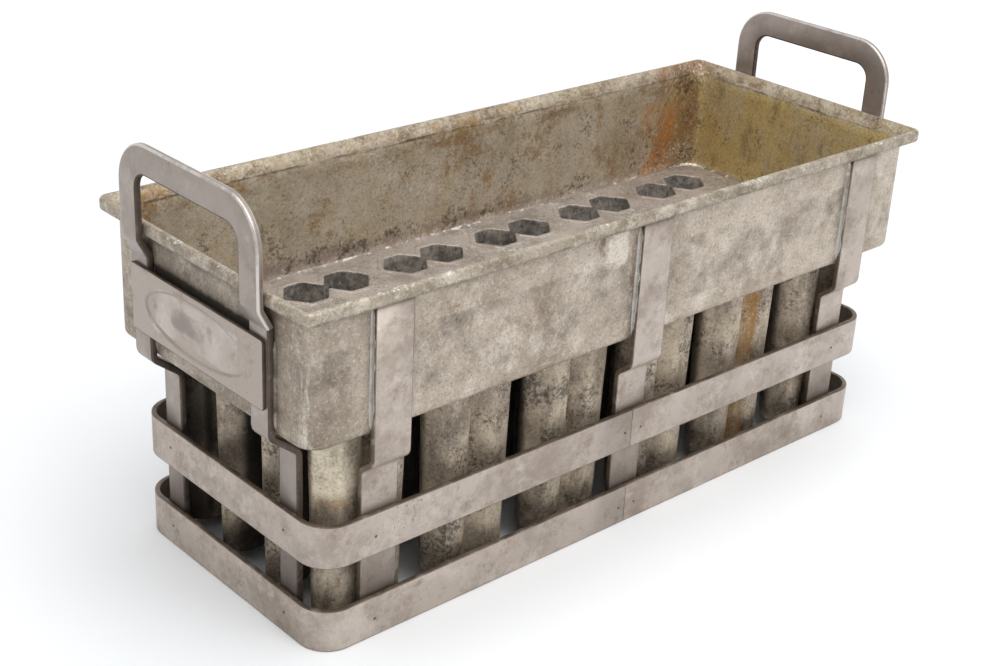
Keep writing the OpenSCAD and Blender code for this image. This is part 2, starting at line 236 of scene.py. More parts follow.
# Inside, the same tin under olive-brown tarnish, purplish and pitted towards the floor, crusted in the
# crease under the rim, yellow on the right end, with a fan of rust in the corner where water stood.
tin_inside = weathered("tarnished_tin", "#cdc1ae", 0.4, 0.5, [
    dict(colour="#a69780", size=46, fade=(0.4, 0.62), cover=0.75, rough=0.55, grit=0.76),
    dict(colour="#b5a07a", size=18, fade=(0.46, 0.65), cover=0.65, rough=0.58, grit=0.8),
    dict(colour="#8d7d76", size=26, fade=(0.34, 0.58), cover=0.7, rough=0.58, grit=0.78,
         where=[("z", 154, 134)]),
    dict(colour="#7d6039", size=14, fade=(0.45, 0.63), cover=0.75, rough=0.62, grit=0.8,
         pull=(1.6, 1.6, 0.8), where=[("z", 166, 192)]),
    dict(colour="#96703a", size=9, fade=(0.54, 0.68), cover=0.7, rough=0.62, grit=0.8, herd=50),
    dict(colour="#aa9d89", size=20, fade=(0.36, 0.6), cover=0.75, rough=0.48, grit=0.8,
         where=[("z", 196, 202)]),
    dict(colour="#6f5f49", size=11, fade=(0.47, 0.63), cover=0.75, rough=0.55, grit=0.82,
         where=[("z", 194, 198)]),
    dict(colour="#cdb26b", size=44, fade=(0.3, 0.56), cover=0.85, rough=0.52, grit=0.76,
         pull=(1, 1, 1.6), where=[("x", 120, 230), ("z", 203, 193)]),
    dict(colour="#897545", size=18, fade=(0.48, 0.65), cover=0.7, rough=0.6, grit=0.82,
         pull=(1, 1, 1.8), where=[("x", 190, 232)]),
    dict(colour="#8c653f", size=40, fade=(0.28, 0.56), cover=0.8, rough=0.72, grit=0.74, lean=30,
         pull=(0.8, 1, 2.2), where=[("x", 176, 200), ("y", 78, 86)]),
    dict(colour="#c27f3a", size=30, fade=(0.36, 0.62), cover=0.8, rough=0.7, grit=0.76, lean=34,
         pull=(0.8, 1, 2.4), where=[("x", 160, 182), ("x", 228, 206), ("y", 78, 86), ("z", 196, 178)]),
    dict(colour="#6b4a30", size=16, fade=(0.5, 0.64), cover=0.75, rough=0.75, grit=0.78, lean=30,
         pull=(0.8, 1, 2), where=[("x", 186, 206), ("y", 78, 86)]),
    dict(colour="#43352a", size=6, fade=(0.45, 0.57), cover=0.75, rough=0.66, grit=0.8,
         pull=(5, 5, 0.4), where=[("z", 193, 195.6), ("z", 198, 196.6)]),
    dict(colour="#42372c", size=2.2, fade=(0.58, 0.72), cover=0.65, rough=0.7, herd=26),
    dict(colour="#3a3029", size=2.6, fade=(0.54, 0.68), cover=0.7, rough=0.7, herd=18,
         where=[("z", 160, 138)]),
    dict(colour="#e9e4d8", size=1.8, fade=(0.66, 0.76), cover=0.6, rough=0.35, herd=50),
] + sand, [(50, 0.4), (9, 0.1), (2.2, 0.07)])
# On the rim the tin is rubbed: dirt stays in the roll, pale tin shows on top, with white specks.
tin_rim = weathered("rubbed_tin_rim", "#a99d8c", 0.5, 0.44, [
    dict(colour="#7a6d5a", size=24, fade=(0.43, 0.63), cover=0.8, rough=0.52, grit=0.78),
    dict(colour="#e0d8c9", size=12, fade=(0.48, 0.65), cover=0.55, rough=0.42, grit=0.78),
    dict(colour="#6d5f4b", size=8, fade=(0.42, 0.62), cover=0.65, rough=0.6, grit=0.78,
         where=[("z", 201, 198)]),
    dict(colour="#eae5da", size=2.4, fade=(0.6, 0.72), cover=0.8, rough=0.35, herd=24,
         where=[("z", 199, 203)]),
] + sand, [(12, 0.15), (2.4, 0.06)])
low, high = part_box("tray_wall")
sheet_t, rim_out, rim_h, rim_edge, rim_flat = 1.4 * mm, 5.5 * mm, 7.5 * mm, 2 * mm, 3 * mm
tray_corner, rim_corner, tray_edge, ledge_w = 13 * mm, 6 * mm, 3.6 * mm, 8 * mm
wall_x, wall_y = high.x - rim_out, high.y - rim_out
lip_z = high.z - rim_h
wall_rows, arc_rows, side_points, corner_points = 9, 4, 26, 8
# Each row: how far the outline lies outside the wall's outer face, its corner radius, its height
# and which finish the faces above it have: 0 outside, 1 rim, 2 inside.
ledge_corner = tray_corner - sheet_t - ledge_w / 2
rows = [(-sheet_t - ledge_w, ledge_corner, low.z, 0)]
for k in range(arc_rows + 1):
    turn = math.radians(90 * k / arc_rows)
    drawn_in = tray_edge * (1 - math.sin(turn))
    rows.append((-drawn_in, tray_corner - drawn_in, low.z + tray_edge * (1 - math.cos(turn)), 0))
for k in range(1, wall_rows + 1):
    rows.append((0, tray_corner, low.z + tray_edge + (lip_z - low.z - tray_edge) * k / wall_rows, 0))
rows[-1] = rows[-1][:3] + (1,)
for start in (-90, 0):
    middle_z = lip_z + rim_edge if start < 0 else high.z - rim_edge
    for k in range(arc_rows + 1):
        turn = math.radians(start + 90 * k / arc_rows)
        reach = rim_out - rim_edge + rim_edge * math.cos(turn)
        rows.append((reach, rim_corner - rim_out + reach, middle_z + rim_edge * math.sin(turn), 1))
rows.append((rim_out - rim_flat, rim_corner - rim_flat, high.z, 2))
inner_corner = tray_corner - sheet_t
for k in range(wall_rows + 1):
    rows.append((-sheet_t, inner_corner, lip_z - (lip_z - low.z - sheet_t) * k / wall_rows, 2))
rows.append((-sheet_t - ledge_w, ledge_corner, low.z + sheet_t, 2))
points, which = [], []
wall_dent, wall_dent_size, least_corner = 0.3 * mm, 70 * mm, 1 * mm
for reach, corner, z, finish in rows:
    outline = round_rect(
        wall_x + reach, wall_y + reach, max(corner, least_corner), side_points, corner_points
    )
    for p in outline:
        spot = Vector((p.x, p.y, z))
        pressed_in = wall_dent * (0.5 + 0.5 * noise.noise(spot / wall_dent_size))
        points.append(spot - Vector((p.x / wall_x, p.y / wall_y, 0)) * pressed_in)
    which += [finish] * len(outline)
faces = skin(len(rows), len(outline), ring=True)
tray = make_piece(
    "tray_pan", points, faces, [tin_outside, tin_rim, tin_inside], which
)
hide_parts("tray_wall")

# Pocket plate: the tray's floor, a flat sheet pierced with a row of mouths for every row of
# pockets. It rests on the tray's turned-in edge and is soldered all round. It stays the CAD solid.
# Tinned sheet that was often wiped: satin and mauve-grey, stained in small clouds, with dark grit and
# white specks of spilt solder.
wiped_steel = weathered("wiped_tinned_steel", "#bbb0a7", 0.45, 0.46, [
    dict(colour="#8b8078", size=30, fade=(0.42, 0.62), cover=0.75, rough=0.5, grit=0.78),
    dict(colour="#a5957f", size=14, fade=(0.5, 0.68), cover=0.6, rough=0.52, grit=0.8),
    dict(colour="#ccc3ba", size=9, fade=(0.5, 0.66), cover=0.65, rough=0.44, grit=0.8),
    dict(colour="#8f7d62", size=18, fade=(0.4, 0.62), cover=0.6, rough=0.6, grit=0.76,
         where=[("x", 200, 226)]),
    dict(colour="#554b43", size=1.8, fade=(0.56, 0.72), cover=0.6, rough=0.6, herd=22),
    dict(colour="#efeae2", size=2.2, fade=(0.62, 0.72), cover=0.75, rough=0.35, herd=26),
] + sand, [(40, 0.3), (9, 0.1), (2, 0.08)])
pocket_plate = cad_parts["pocket_plate"]
pocket_plate.data.materials.clear()
pocket_plate.data.materials.append(wiped_steel)

# Pockets: tapered twin-lobed cups of thin sheet, two pressed halves soldered into one and hung
# under the plate by the mouth. Each is a loft with rounded corners, slightly dented, as pressing
# and years of knocking out the frozen pops leave it. It stands for its CAD solid.
pocket_rows, pocket_columns = range(1, 5), range(1, 7)
mouth_w, waist_w = 25 * mm, 4 * mm
# From the middle: where a lobe's flat side starts and ends, and where its end faces would meet.
lobe_start, lobe_end, lobe_tip = 8.7 * mm, 20.1 * mm, 29.6 * mm
pocket_wall = 1.5 * mm
draft = math.tan(math.radians(1))
corner_r, waist_r, least_r, corner_steps = 3 * mm, 1.5 * mm, 0.3 * mm, 4
mouth_flare = 1 * mm
bottom_round = 4 * mm
# How deep the dents are and how large, and how far below the mouth they are at their full depth.
pocket_dent, pocket_dent_size, stiff_mouth = 0.35 * mm, 22 * mm, 15 * mm


def offset(corners, distance):
    """A closed outline, anticlockwise, moved inwards by a distance with mitred corners."""
    moved = []
    for i, corner in enumerate(corners):
        before = (corner - corners[i - 1]).normalized()
        after = (corners[(i + 1) % len(corners)] - corner).normalized()
        a, b = Vector((-before.y, before.x)), Vector((-after.y, after.x))
        moved.append(corner + distance * (a + b) / (1 + a.dot(b)))
    return moved


def mouth(shrink, grow):
    """Outline of a pocket with rounded corners, drawn in by the draft, except at the waist, which
    stays open to the bottom, and grown outwards by the wall."""
    right = [
        (0, -waist_w / 2), (lobe_start, -mouth_w / 2), (lobe_end, -mouth_w / 2), (lobe_tip, 0),
        (lobe_end, mouth_w / 2), (lobe_start, mouth_w / 2), (0, waist_w / 2),
    ]
    sharp = [Vector(p) for p in right + [(-x, y) for x, y in reversed(right[1:-1])]]
    corners, grown = offset(sharp, shrink - grow), offset(sharp, -grow)
    waists = (0, len(right) - 1)
    for i in waists:
        corners[i] = grown[i]
    outline = []
    for i, corner in enumerate(corners):
        before = (corners[i - 1] - corner).normalized()
        after = (corners[(i + 1) % len(corners)] - corner).normalized()
        radius = max(waist_r - grow, least_r) if i in waists else corner_r + grow
        cut = radius / math.tan(before.angle(after) / 2)
        start, end = corner + before * cut, corner + after * cut
        for k in range(corner_steps + 1):
            t = k / corner_steps
            outline.append(start * (1 - t) ** 2 + corner * (2 * t * (1 - t)) + end * t ** 2)
    return outline


# Drawn sheet steel that stood in brine: brown mottling run down the sides, clusters of dark pits,
# cream bloom on the corner pocket, rust where brine dripped, and near-black painted shade on the
# pockets within the group and on the back row's pocket at the left end.
front_row = ("y", -60, -66)
brine_steel = weathered("brine_stained_steel", "#c8b8a2", 0.35, 0.5, [
    dict(colour="#85776a", size=26, fade=(0.42, 0.62), cover=0.75, rough=0.55, grit=0.74,
         pull=(1, 1, 2.6)),
    dict(colour="#d3c7b3", size=16, fade=(0.5, 0.68), cover=0.6, rough=0.5, grit=0.76,
         pull=(1, 1, 2.4)),
    dict(colour="#62513d", size=11, fade=(0.49, 0.66), cover=0.75, rough=0.62, grit=0.8,
         pull=(1, 1, 1.6)),
    dict(colour="#3f342a", size=24, fade=(0.36, 0.6), cover=0.75, rough=0.62, grit=0.78,
         where=[("z", 66, 14)]),
    dict(colour="#2d2620", size=2.1, fade=(0.54, 0.7), cover=0.75, rough=0.7, herd=20, grit=0.72),
    dict(colour="#efe3c8", size=30, fade=(0.28, 0.56), cover=0.75, rough=0.5, grit=0.78,
         where=[("x", -174, -188), front_row, ("z", 66, 92)]),
    dict(colour="#b07a3c", size=11, fade=(0.38, 0.62), cover=0.6, rough=0.7, grit=0.76,
         where=[("x", -190, -200), front_row, ("z", 72, 80), ("z", 98, 84)]),
    dict(colour="#ac8040", size=13, fade=(0.36, 0.58), cover=0.8, rough=0.72, grit=0.8,
         pull=(0.7, 1, 5), where=[("x", 106, 111), ("x", 124, 117), front_row]),
] + sand + [
    # Painted shade: near black on the pockets within the group, deep in the cage.
    dict(colour="#1b1815", size=30, fade=(-0.1, 0.3), cover=0.85, rough=0.6,
         where=[("y", -47, -43), ("y", 47, 43), ("x", -211, -201), ("x", 211, 201)]),
    # Painted shade: dark on the back row's pocket at the left end.
    dict(colour="#1f1b17", size=24, fade=(-0.1, 0.4), cover=0.8, rough=0.6,
         where=[("y", 42, 48), ("y", 76, 68), ("x", -194, -204)]),
], [(30, 0.35), (6, 0.12), (1.8, 0.07)])
# The inside of a pocket, wetted and frozen daily: duller and greyer, with the same mottling, and
# painted shade that darkens it deeper down.
scoured_steel = weathered("scoured_pocket_steel", "#b3aba1", 0.3, 0.55, [
    dict(colour="#5c5650", size=14, fade=(0.4, 0.6), cover=0.85, rough=0.6, grit=0.78),
    dict(colour="#cfc8bd", size=3, fade=(0.54, 0.68), cover=0.7, rough=0.5, grit=0.8,
         pull=(1, 1, 2)),
    dict(colour="#2b2623", size=2.6, fade=(0.5, 0.66), cover=0.8, rough=0.6, grit=0.8),
    # Painted shade: near black deeper down inside the pocket.
    dict(colour="#25211e", size=20, fade=(0.0, 0.4), cover=0.85, rough=0.6,
         where=[("z", 124, 100)]),
], [(6, 0.12), (2, 0.05)])
side_rows, bowl_rows, round_rows = 12, 8, 4
# Each level of a pocket: how far its outline is drawn in and grown, and its depth below the floor.
# Those of the lip go from the outer face over the flare to the inner face.
flared_lip = [(0, 1.45 * mm, 0.3 * mm)] + [
    (-mouth_flare, grow * mm, level * mm)
    for grow, level in ((0.35, 0.08), (0.2, 0.1), (0.05, 0.4), (0, 1.2))
]
for row in pocket_rows:
    for column in pocket_columns:
        node = f"pocket_r{row}_c{column}"
        low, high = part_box(node)
        middle = (low + high) / 2
        depth = high.z - low.z
        outer, inner = [], []
        for k in range(round_rows + 1):
            turn = math.radians(90 - 90 * k / round_rows)
            level = depth - bottom_round * (1 - math.sin(turn))
            outer.append((draft * level + bottom_round * (1 - math.cos(turn)), pocket_wall, level))
            bowl_round = bottom_round - pocket_wall
            level = depth - pocket_wall - bowl_round * (1 - math.sin(turn))
            inner.append((draft * level + bowl_round * (1 - math.cos(turn)), 0, level))
        for k in range(1, side_rows + 1):
            level = (depth - bottom_round) * (1 - k / side_rows)
            outer.append((draft * level, pocket_wall, level))
        for k in range(1, bowl_rows):
            level = (depth - bottom_round) * (1 - k / bowl_rows)
            inner.append((draft * level, 0, level))
        levels = outer + flared_lip + inner[::-1]
        points = []
        for shrink, grow, level in levels:
            for p in mouth(shrink, grow):
                spot = Vector((middle.x + p.x, middle.y + p.y, high.z - level))
                push = noise.noise(spot / pocket_dent_size) * pocket_dent * min(level / stiff_mouth, 1)
                points.append(spot + Vector((p.x, p.y, 0)).normalized() * push)
        width = len(mouth(0, 0))
        faces = skin(len(levels), width)
        which = [0 if face[0] < (len(outer) + 1) * width else 1 for face in faces]
        faces += [tuple(range(width)), tuple(range((len(levels) - 1) * width, len(levels) * width))]
        which += [0, 1]
        pocket = make_piece(
            f"twin_pocket_r{row}_c{column}", points, faces, [brine_steel, scoured_steel],
            which,
        )
        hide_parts(node)

# Mouth seams: each pocket's flange, soldered to the plate and wiped flush into a low, uneven ring
# round the mouth. All of them are one piece of the floor's own tinned finish.
# Levels of a ring, in mm: how far outside the mouth, and how high over the floor.
ring_levels = [
    (0.45, -0.9), (0.35, -0.25), (0.4, 0), (0.7, 0.1), (1.6, 0.2), (3, 0.16), (4.6, -0.12)
]
# How far in mm outside the mouth a ring starts to wander, how far it goes, and in what waves.
wander_from, wander, wander_size = 2, 0.3 * mm, 5 * mm
points, faces = [], []
for row in pocket_rows:
    for column in pocket_columns:
        low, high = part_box(f"pocket_r{row}_c{column}")
        middle = (low + high) / 2
        base = len(points)
        for grow, lift in ring_levels:
            for p in mouth(-mouth_flare, grow * mm):
                spot = Vector((middle.x + p.x, middle.y + p.y, high.z + lift * mm))
                if grow > wander_from:
                    away = Vector((p.x, p.y, 0)).normalized()
                    spot += away * noise.noise(spot / wander_size) * wander
                points.append(spot)
        width = len(mouth(0, 0))
        ring_faces = skin(len(ring_levels), width, ring=True)
        faces += [tuple(base + i for i in face) for face in ring_faces]
make_piece("mouth_seams", points, faces, [wiped_steel])

# Floor bead: tin solder run into the corner between the plate and the wall, with an iron, in one
# pass all round. Its edge wanders and it is lumpy where the iron stopped. It stands for the CAD bead.
# Tin-lead solder: pale and bluish, smooth, dulled by old flux, with bright fresh-looking lumps.
solder = weathered("tin_solder", "#b3b0ab", 0.6, 0.4, [
    dict(colour="#948a7e", size=14, fade=(0.46, 0.62), cover=0.7, rough=0.52, grit=0.74),
    dict(colour="#e2dfd8", size=6, fade=(0.54, 0.68), cover=0.75, rough=0.34, grit=0.74),
    dict(colour="#7b7063", size=2.5, fade=(0.56, 0.7), cover=0.5, rough=0.6),
], [(5, 0.1), (1.5, 0.04)])
# The bead round the floor is the same, stained by flux and wiped thin, bright only in lumps.
stained_solder = weathered("flux_stained_solder", "#a1968b", 0.5, 0.46, [
    dict(colour="#83766a", size=20, fade=(0.4, 0.6), cover=0.8, rough=0.55, grit=0.76),
    dict(colour="#f1ede5", size=7, fade=(0.56, 0.66), cover=0.9, rough=0.34, grit=0.76, herd=40),
    dict(colour="#5d5147", size=2, fade=(0.54, 0.7), cover=0.6, rough=0.6),
], [(5, 0.1), (1.5, 0.05)])
fillet_steps = 5
# How hollow the solder's face is, how far its root lies behind the corner and its rims in the metal,
# and its size at both ends of a run, with the count of stations in which it fills out.
hollow, root_depth, rim_depth, end_size, end_run = 1.7, 0.3 * mm, 0.05 * mm, 0.25, 3


def fillet(stations, leg_a, leg_b, closed=False):
    """Points and faces of solder in a corner. A station is a point of the corner and the two
    directions along the faces that meet there; the legs are how far the solder reaches on each."""
    points, count = [], len(stations)
    for i, (corner, a, b) in enumerate(stations):
        end = 1 if closed else min(1, end_size + min(i, count - 1 - i) / end_run)
        # Its reach on the first face changes in long and short waves, on the second in long ones.
        spread = 0.45 * noise.noise(corner / (7 * mm)) + 0.3 * noise.noise(corner / (2.5 * mm))
        climb = 0.35 * noise.noise(corner / (6 * mm) + Vector((9, 4, 2)))
        points.append(corner - (a + b) * root_depth)
        for k in range(fillet_steps + 1):
            t = k / fillet_steps
            points.append(
                corner + a * leg_a * end * (1 + spread) * (1 - t) ** hollow
                + b * leg_b * end * (1 + climb) * t ** hollow - (a * t + b * (1 - t)) * rim_depth
            )
    width = fillet_steps + 2
    faces = skin(count, width, ring=closed)
    if not closed:
        faces += [tuple(range(width)), tuple(range((count - 1) * width, count * width))]
    return points, faces


low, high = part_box("floor_solder_bead")
bead_corner, bead_turns, bead_pitch = 11.5 * mm, 8, 2.5 * mm
bead_on_floor, bead_on_wall = 1.9 * mm, 1.5 * mm
upward = Vector((0, 0, 1))
stations = []
for quarter in range(4):
    sx, sy = ((1, 1), (-1, 1), (-1, -1), (1, -1))[quarter]
    centre = Vector((sx * (high.x - bead_corner), sy * (high.y - bead_corner), low.z))
    for k in range(bead_turns + 1):
        turn = math.radians(90 * quarter + 90 * k / bead_turns)
        out = Vector((math.cos(turn), math.sin(turn), 0))
        stations.append((centre + out * bead_corner, -out, upward))
    span = 2 * ((high.x if quarter % 2 == 0 else high.y) - bead_corner)
    start, out = stations[-1][0], -stations[-1][1]
    along = Vector((-out.y, out.x, 0))
    pieces = round(span / bead_pitch)
    stations += [(start + along * span * k / pieces, -out, upward) for k in range(1, pieces)]
points, faces = fillet(stations, bead_on_floor, bead_on_wall, closed=True)
bead = make_piece("floor_bead", points, faces, [stained_solder])
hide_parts("floor_solder_bead")

# Side straps: flat steel strips, three to a side, soldered flat on the tray's wall and stepped in
# below it to run down inside the bands. Each is a bar swept along its bends, and stands for its
# CAD solid.
edge_steps = 3


def bends(line, radius, steps):
    """A line of points with a round bend at each inner corner."""
    path = [line[0]]
    for before, corner, after in zip(line, line[1:], line[2:]):
        ahead, turned = (corner - before).normalized(), (after - corner).normalized()
        cut = radius * math.tan(ahead.angle(turned) / 2)
        start, end = corner - ahead * cut, corner + turned * cut
        for k in range(steps + 1):
            t = k / steps
            path.append(start * (1 - t) ** 2 + corner * (2 * t * (1 - t)) + end * t ** 2)
    return path + [line[-1]]


def sheared(side, spot):
    """Finish of a strip's faces: the second one all round its edges."""
    return 0 if side == "broad" else 1


def flat_bar(name, stations, width, thick, edge, finishes, finish_of=sheared):
    """A flat bar with rounded edges, swept along stations: the middle of the bar and the way its
    broad face looks. finish_of tells a face's finish from its side of the bar and its place."""
    section = round_rect(width / 2, thick / 2, edge, 1, edge_steps)
    count = len(section)
    points = []
    for i, (spot, out) in enumerate(stations):
        along = stations[min(i + 1, len(stations) - 1)][0] - stations[max(i - 1, 0)][0]
        across = along.cross(out).normalized()
        facing = across.cross(along).normalized()
        points += [spot + across * p.x + facing * p.y for p in section]
    faces = skin(len(stations), count)
    sides = []
    for rounds, flat in (("right", "broad"), ("left", "left"), ("left", "broad"), ("right", "right")):
        sides += [rounds + "_round"] * edge_steps + [flat]
    which = [finish_of(sides[i % count], stations[i // count][0]) for i in range(len(faces))]
    last = (len(stations) - 1) * count
    faces += [tuple(range(count)), tuple(range(last, last + count))]
    which += [1, 1]
    return make_piece(name, points, faces, finishes, which)


# Nickel-plated steel strip, satin from handling: warm light grey and cloudy, brown breaking through.
plated_coats = [
    dict(colour="#93867a", size=46, fade=(0.42, 0.64), cover=0.75, rough=0.46, grit=0.76),
    dict(colour="#d0c5bb", size=24, fade=(0.5, 0.67), cover=0.65, rough=0.38, grit=0.76),
    dict(colour="#847260", size=15, fade=(0.52, 0.68), cover=0.6, rough=0.52, grit=0.82),
    dict(colour="#857668", size=1.6, fade=(0.54, 0.76), cover=0.35, rough=0.54),
    dict(colour="#4d443a", size=1.5, fade=(0.72, 0.8), cover=0.6, rough=0.6, herd=60),
]
plated_steel = weathered(
    "satin_plated_steel", "#bbafa5", 0.7, 0.4, plated_coats, [(40, 0.25), (5, 0.04), (1.6, 0.02)]
)
# The sheared edges of the strip, where the plating is gone and the steel is brown.
bare_edge = weathered("bare_steel_edge", "#7b6d60", 0.6, 0.45, [
    dict(colour="#55483d", size=20, fade=(0.42, 0.62), cover=0.75, rough=0.55),
    dict(colour="#a99d91", size=9, fade=(0.52, 0.68), cover=0.6, rough=0.4),
], [(3, 0.04)])
# strap_step holds the heights where a strap's step starts and ends, inner_y is where its lower part's
# inner face lies.
strap_t, strap_edge, strap_step, inner_y = 3 * mm, 0.55 * mm, (101.7 * mm, 109.7 * mm), 80 * mm
strap_bend, strap_bend_steps = 5.5 * mm, 5
straps = [
    f"{side}_strap_{place}" for side in ("front", "back") for place in ("left", "center", "right")
]
for node in straps:
    low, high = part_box(node)
    side = -1 if node.startswith("front") else 1
    x, y_high = (low.x + high.x) / 2, side * (max(-low.y, high.y) - strap_t / 2)
    y_low = side * (inner_y + strap_t / 2)
    line = bends([
        Vector((x, y_low, low.z)), Vector((x, y_low, strap_step[0])),
        Vector((x, y_high, strap_step[1])), Vector((x, y_high, high.z)),
    ], strap_bend, strap_bend_steps)
    strap = flat_bar(
        node.replace("strap", "strip"), [(p, Vector((0, side, 0))) for p in line],
        high.x - low.x, strap_t, strap_edge, [plated_steel, bare_edge],
    )
    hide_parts(node)

# Strap solder: each strap is sweated to the wall. Seen from outside, a thin bead of tin-lead solder
# runs up its left edge, and a broad fillet up its right edge is wiped into the wall's own tin.
seam_pitch, bare_top = 2.2 * mm, 0.5 * mm
seam_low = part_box("tray_wall")[0].z + tray_edge
for node in straps:
    low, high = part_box(node)
    side = -1 if node.startswith("front") else 1
    out = Vector((0, side, 0))
    top = high.z - bare_top
    count = round((top - seam_low) / seam_pitch)
    thin_x, broad_x = (low.x, high.x) if side < 0 else (high.x, low.x)
    for kind, x, leg_wall, leg_strap, metal in (
        ("bead", thin_x, 1.3 * mm, 2.9 * mm, solder),
        ("fillet", broad_x, 5 * mm, 2.9 * mm, tin_outside),
    ):
        away = Vector((1 if x == high.x else -1, 0, 0))
        stations = [
            (Vector((x, side * (wall_y - wall_dent), seam_low + (top - seam_low) * k / count)),
             away, out)
            for k in range(count + 1)
        ]
        points, faces = fillet(stations, leg_wall, leg_strap)
        make_piece(f"{node}_solder_{kind}", points, faces, [metal])

# Handles: one flat steel bar at each end, bent over the rim in a loop, stepped on to the end wall
# and run down inside the bands as two more straps. Each is one swept bar, and stands for its solid.
# The same plated steel, darker and greyer from handling, with soft clouds.
grip_steel = weathered("handled_plated_steel", "#9e938b", 0.75, 0.38, [
    dict(colour="#8b8079", size=46, fade=(0.42, 0.64), cover=0.65, rough=0.42, grit=0.72),
    dict(colour="#bdb3ab", size=26, fade=(0.5, 0.7), cover=0.55, rough=0.34, grit=0.72),
    dict(colour="#7d6f64", size=12, fade=(0.52, 0.7), cover=0.45, rough=0.5, grit=0.78),
    dict(colour="#6e625a", size=1.5, fade=(0.56, 0.76), cover=0.35, rough=0.5),
], [(40, 0.25), (5, 0.04), (1.6, 0.02)])
# Its outer rounds, rubbed by hands down to bright steel, and painted paler still as a highlight.
worn_highlight_edge = weathered("hand_rubbed_steel_painted_highlight", "#cbc4be", 0.8, 0.32, [
    dict(colour="#a0958d", size=20, fade=(0.46, 0.62), cover=0.8, rough=0.4),
    dict(colour="#75685e", size=5, fade=(0.58, 0.7), cover=0.6, rough=0.5),
], [(3, 0.03)])
# Its narrow sides below the rim and inside the loop are never touched, and are dark with oxide and with
# painted shade.
oxide_and_shade_edge = weathered("oxidised_steel_edge_painted_shade", "#5d5047", 0.45, 0.55, [
    dict(colour="#3b322c", size=18, fade=(0.42, 0.62), cover=0.75, rough=0.6),
    dict(colour="#8a7d72", size=7, fade=(0.54, 0.7), cover=0.6, rough=0.45),
], [(3, 0.04)])
bar_w, bar_t, bar_edge, bar_bend, bar_bend_steps = 16.5 * mm, 3.8 * mm, 1.1 * mm, 5.9 * mm, 6
loop_corner, loop_steps = 17.75 * mm, 12
# Heights where the two steps of a leg start and end, and where its middle lies below and on the wall.
foot_step, rim_step = (111.4 * mm, 124.4 * mm), (184.5 * mm, 195 * mm)
foot_x, leg_x = 219.65 * mm, 236.55 * mm
for end, node in ((-1, "left_handle"), (1, "right_handle")):
    low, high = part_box(node)
    loop_x = (high.x if end > 0 else -low.x) - bar_t / 2
    leg_y = high.y - bar_w / 2
    top_z = high.z - bar_w / 2
    leg = bends([
        Vector((end * foot_x, leg_y, low.z)), Vector((end * foot_x, leg_y, foot_step[0])),
        Vector((end * leg_x, leg_y, foot_step[1])), Vector((end * leg_x, leg_y, rim_step[0])),
        Vector((end * loop_x, leg_y, rim_step[1])), Vector((end * loop_x, leg_y, top_z - loop_corner)),
    ], bar_bend, bar_bend_steps)
    centre = Vector((end * loop_x, leg_y - loop_corner, top_z - loop_corner))
    arc = []
    for k in range(1, loop_steps + 1):
        turn = math.radians(90 * k / loop_steps)
        arc.append(centre + loop_corner * Vector((0, math.cos(turn), math.sin(turn))))
    half = leg + arc
    path = half + [Vector((p.x, -p.y, p.z)) for p in reversed(half)]
    inside = "right" if end < 0 else "left"

    def worn_and_lit_finish(side, spot):
        """Finish of a handle's faces: 0 broad and outer sides, 1 outer rounds, worn and painted paler as
        a highlight, 2 inner and lower sides, oxidised and painted darker as shade.
        """
        if side != "broad" and (side.startswith(inside) or spot.z < rim_step[0]):
            return 2
        return 1 if side.endswith("round") else 0

    handle = flat_bar(
        node.replace("handle", "grip"), [(p, Vector((end, 0, 0))) for p in path], bar_w, bar_t,
        bar_edge, [grip_steel, worn_highlight_edge, oxide_and_shade_edge], worn_and_lit_finish,
    )
    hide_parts(node)

# Handle solder: thin beads up both edges of each leg, where it lies on the end wall. They are wiped
# into the wall's own tin and stop below the bend under the rim.
bead_stop, bead_reach, bead_climb = 6 * mm, 1.4 * mm, 1.6 * mm
for end, node in ((-1, "left_handle"), (1, "right_handle")):
    low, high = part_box(node)
    top = rim_step[0] - bead_stop
    count = round((top - seam_low) / seam_pitch)
    points, faces = [], []
    for y, away in ((high.y, 1), (high.y - bar_w, -1), (-high.y, -1), (bar_w - high.y, 1)):
        stations = [
            (Vector((end * (wall_x - wall_dent), y, seam_low + (top - seam_low) * k / count)),
             Vector((0, away, 0)), Vector((end, 0, 0)))
            for k in range(count + 1)
        ]
        run_points, run_faces = fillet(stations, bead_reach, bead_climb)
        faces += [tuple(len(points) + i for i in face) for face in run_faces]
        points += run_points
    make_piece(f"{node}_solder", points, faces, [tin_outside])

# End plates: sheet steel plates soldered across the two legs of each handle, with a shallow plain
# oval pressed into them. Each stands for its CAD solid and has the soft rim of the pressing.
oval_a, oval_b, oval_depth = 47 * mm, 16 * mm, 0.9 * mm
plate_corner, plate_edge, plate_sides, plate_turns = 2 * mm, 0.45 * mm, 24, 5
plate_sag, sag_size = 0.15 * mm, 35 * mm
# Rings of the pressing: share of the oval's size, how far outside it in mm, and share of its depth.
# The last few are the low bead that the press raised round it, and the groove's faces are painted
# darker as shade.
dish = [(0.3, 0, 1.0), (0.6, 0, 0.97), (0.8, -1, 0.93),
        (1, -2.6, 0.88), (1, -1.4, 0.76), (1, -0.6, 0.35), (1, 0, 0),
        (1, 0.5, -0.36), (1, 1.1, -0.36), (1, 1.8, -0.1), (1, 2.2, 0)]
groove = (4, 5)
